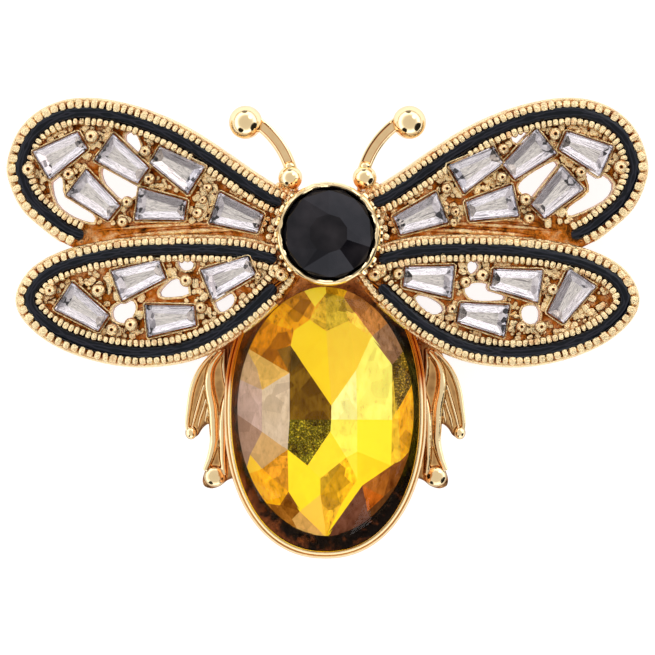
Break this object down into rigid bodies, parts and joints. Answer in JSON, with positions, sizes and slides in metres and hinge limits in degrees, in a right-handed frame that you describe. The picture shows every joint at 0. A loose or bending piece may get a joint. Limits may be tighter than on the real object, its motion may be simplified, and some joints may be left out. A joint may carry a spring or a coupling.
{
  "type": "insect brooch",
  "caption": "Winged insect brooch: pierced gold casting, black enamel borders, clear baguettes, round black head stone, oval amber abdomen stone, plain pin.",
  "frame": {"origin": "on the surface that the brooch lies on, under the middle of its width and length", "axes": "+Z out of the face, +Y from the abdomen to the antennae, +X along the wings to the right as seen from the front"},
  "size_m": [0.0452, 0.0324, 0.0077],
  "materials": {
    "gold": "polished gold plating with darker recesses",
    "black_enamel": "glossy hard enamel",
    "clear_stone": "foiled clear crystal, step cut",
    "black_stone": "opaque black crystal",
    "amber_stone": "foiled amber crystal",
    "pin_metal": "plain gold plating"
  },
  "bodies": {
    "root": {"casting": "gold", "enamel_upper_left": "black_enamel", "enamel_upper_right": "black_enamel", "enamel_lower_left": "black_enamel", "enamel_lower_right": "black_enamel", "baguette_01": "clear_stone", "baguette_02": "clear_stone", "baguette_03": "clear_stone", "baguette_04": "clear_stone", "baguette_05": "clear_stone", "baguette_06": "clear_stone", "baguette_07": "clear_stone", "baguette_08": "clear_stone", "baguette_09": "clear_stone", "baguette_10": "clear_stone", "baguette_11": "clear_stone", "baguette_12": "clear_stone", "baguette_13": "clear_stone", "baguette_14": "clear_stone", "baguette_15": "clear_stone", "baguette_16": "clear_stone", "baguette_17": "clear_stone", "baguette_18": "clear_stone", "baguette_19": "clear_stone", "baguette_20": "clear_stone", "head_stone": "black_stone", "abdomen_stone": "amber_stone", "pin_fitting": "pin_metal"}
  },
  "joints": []
}
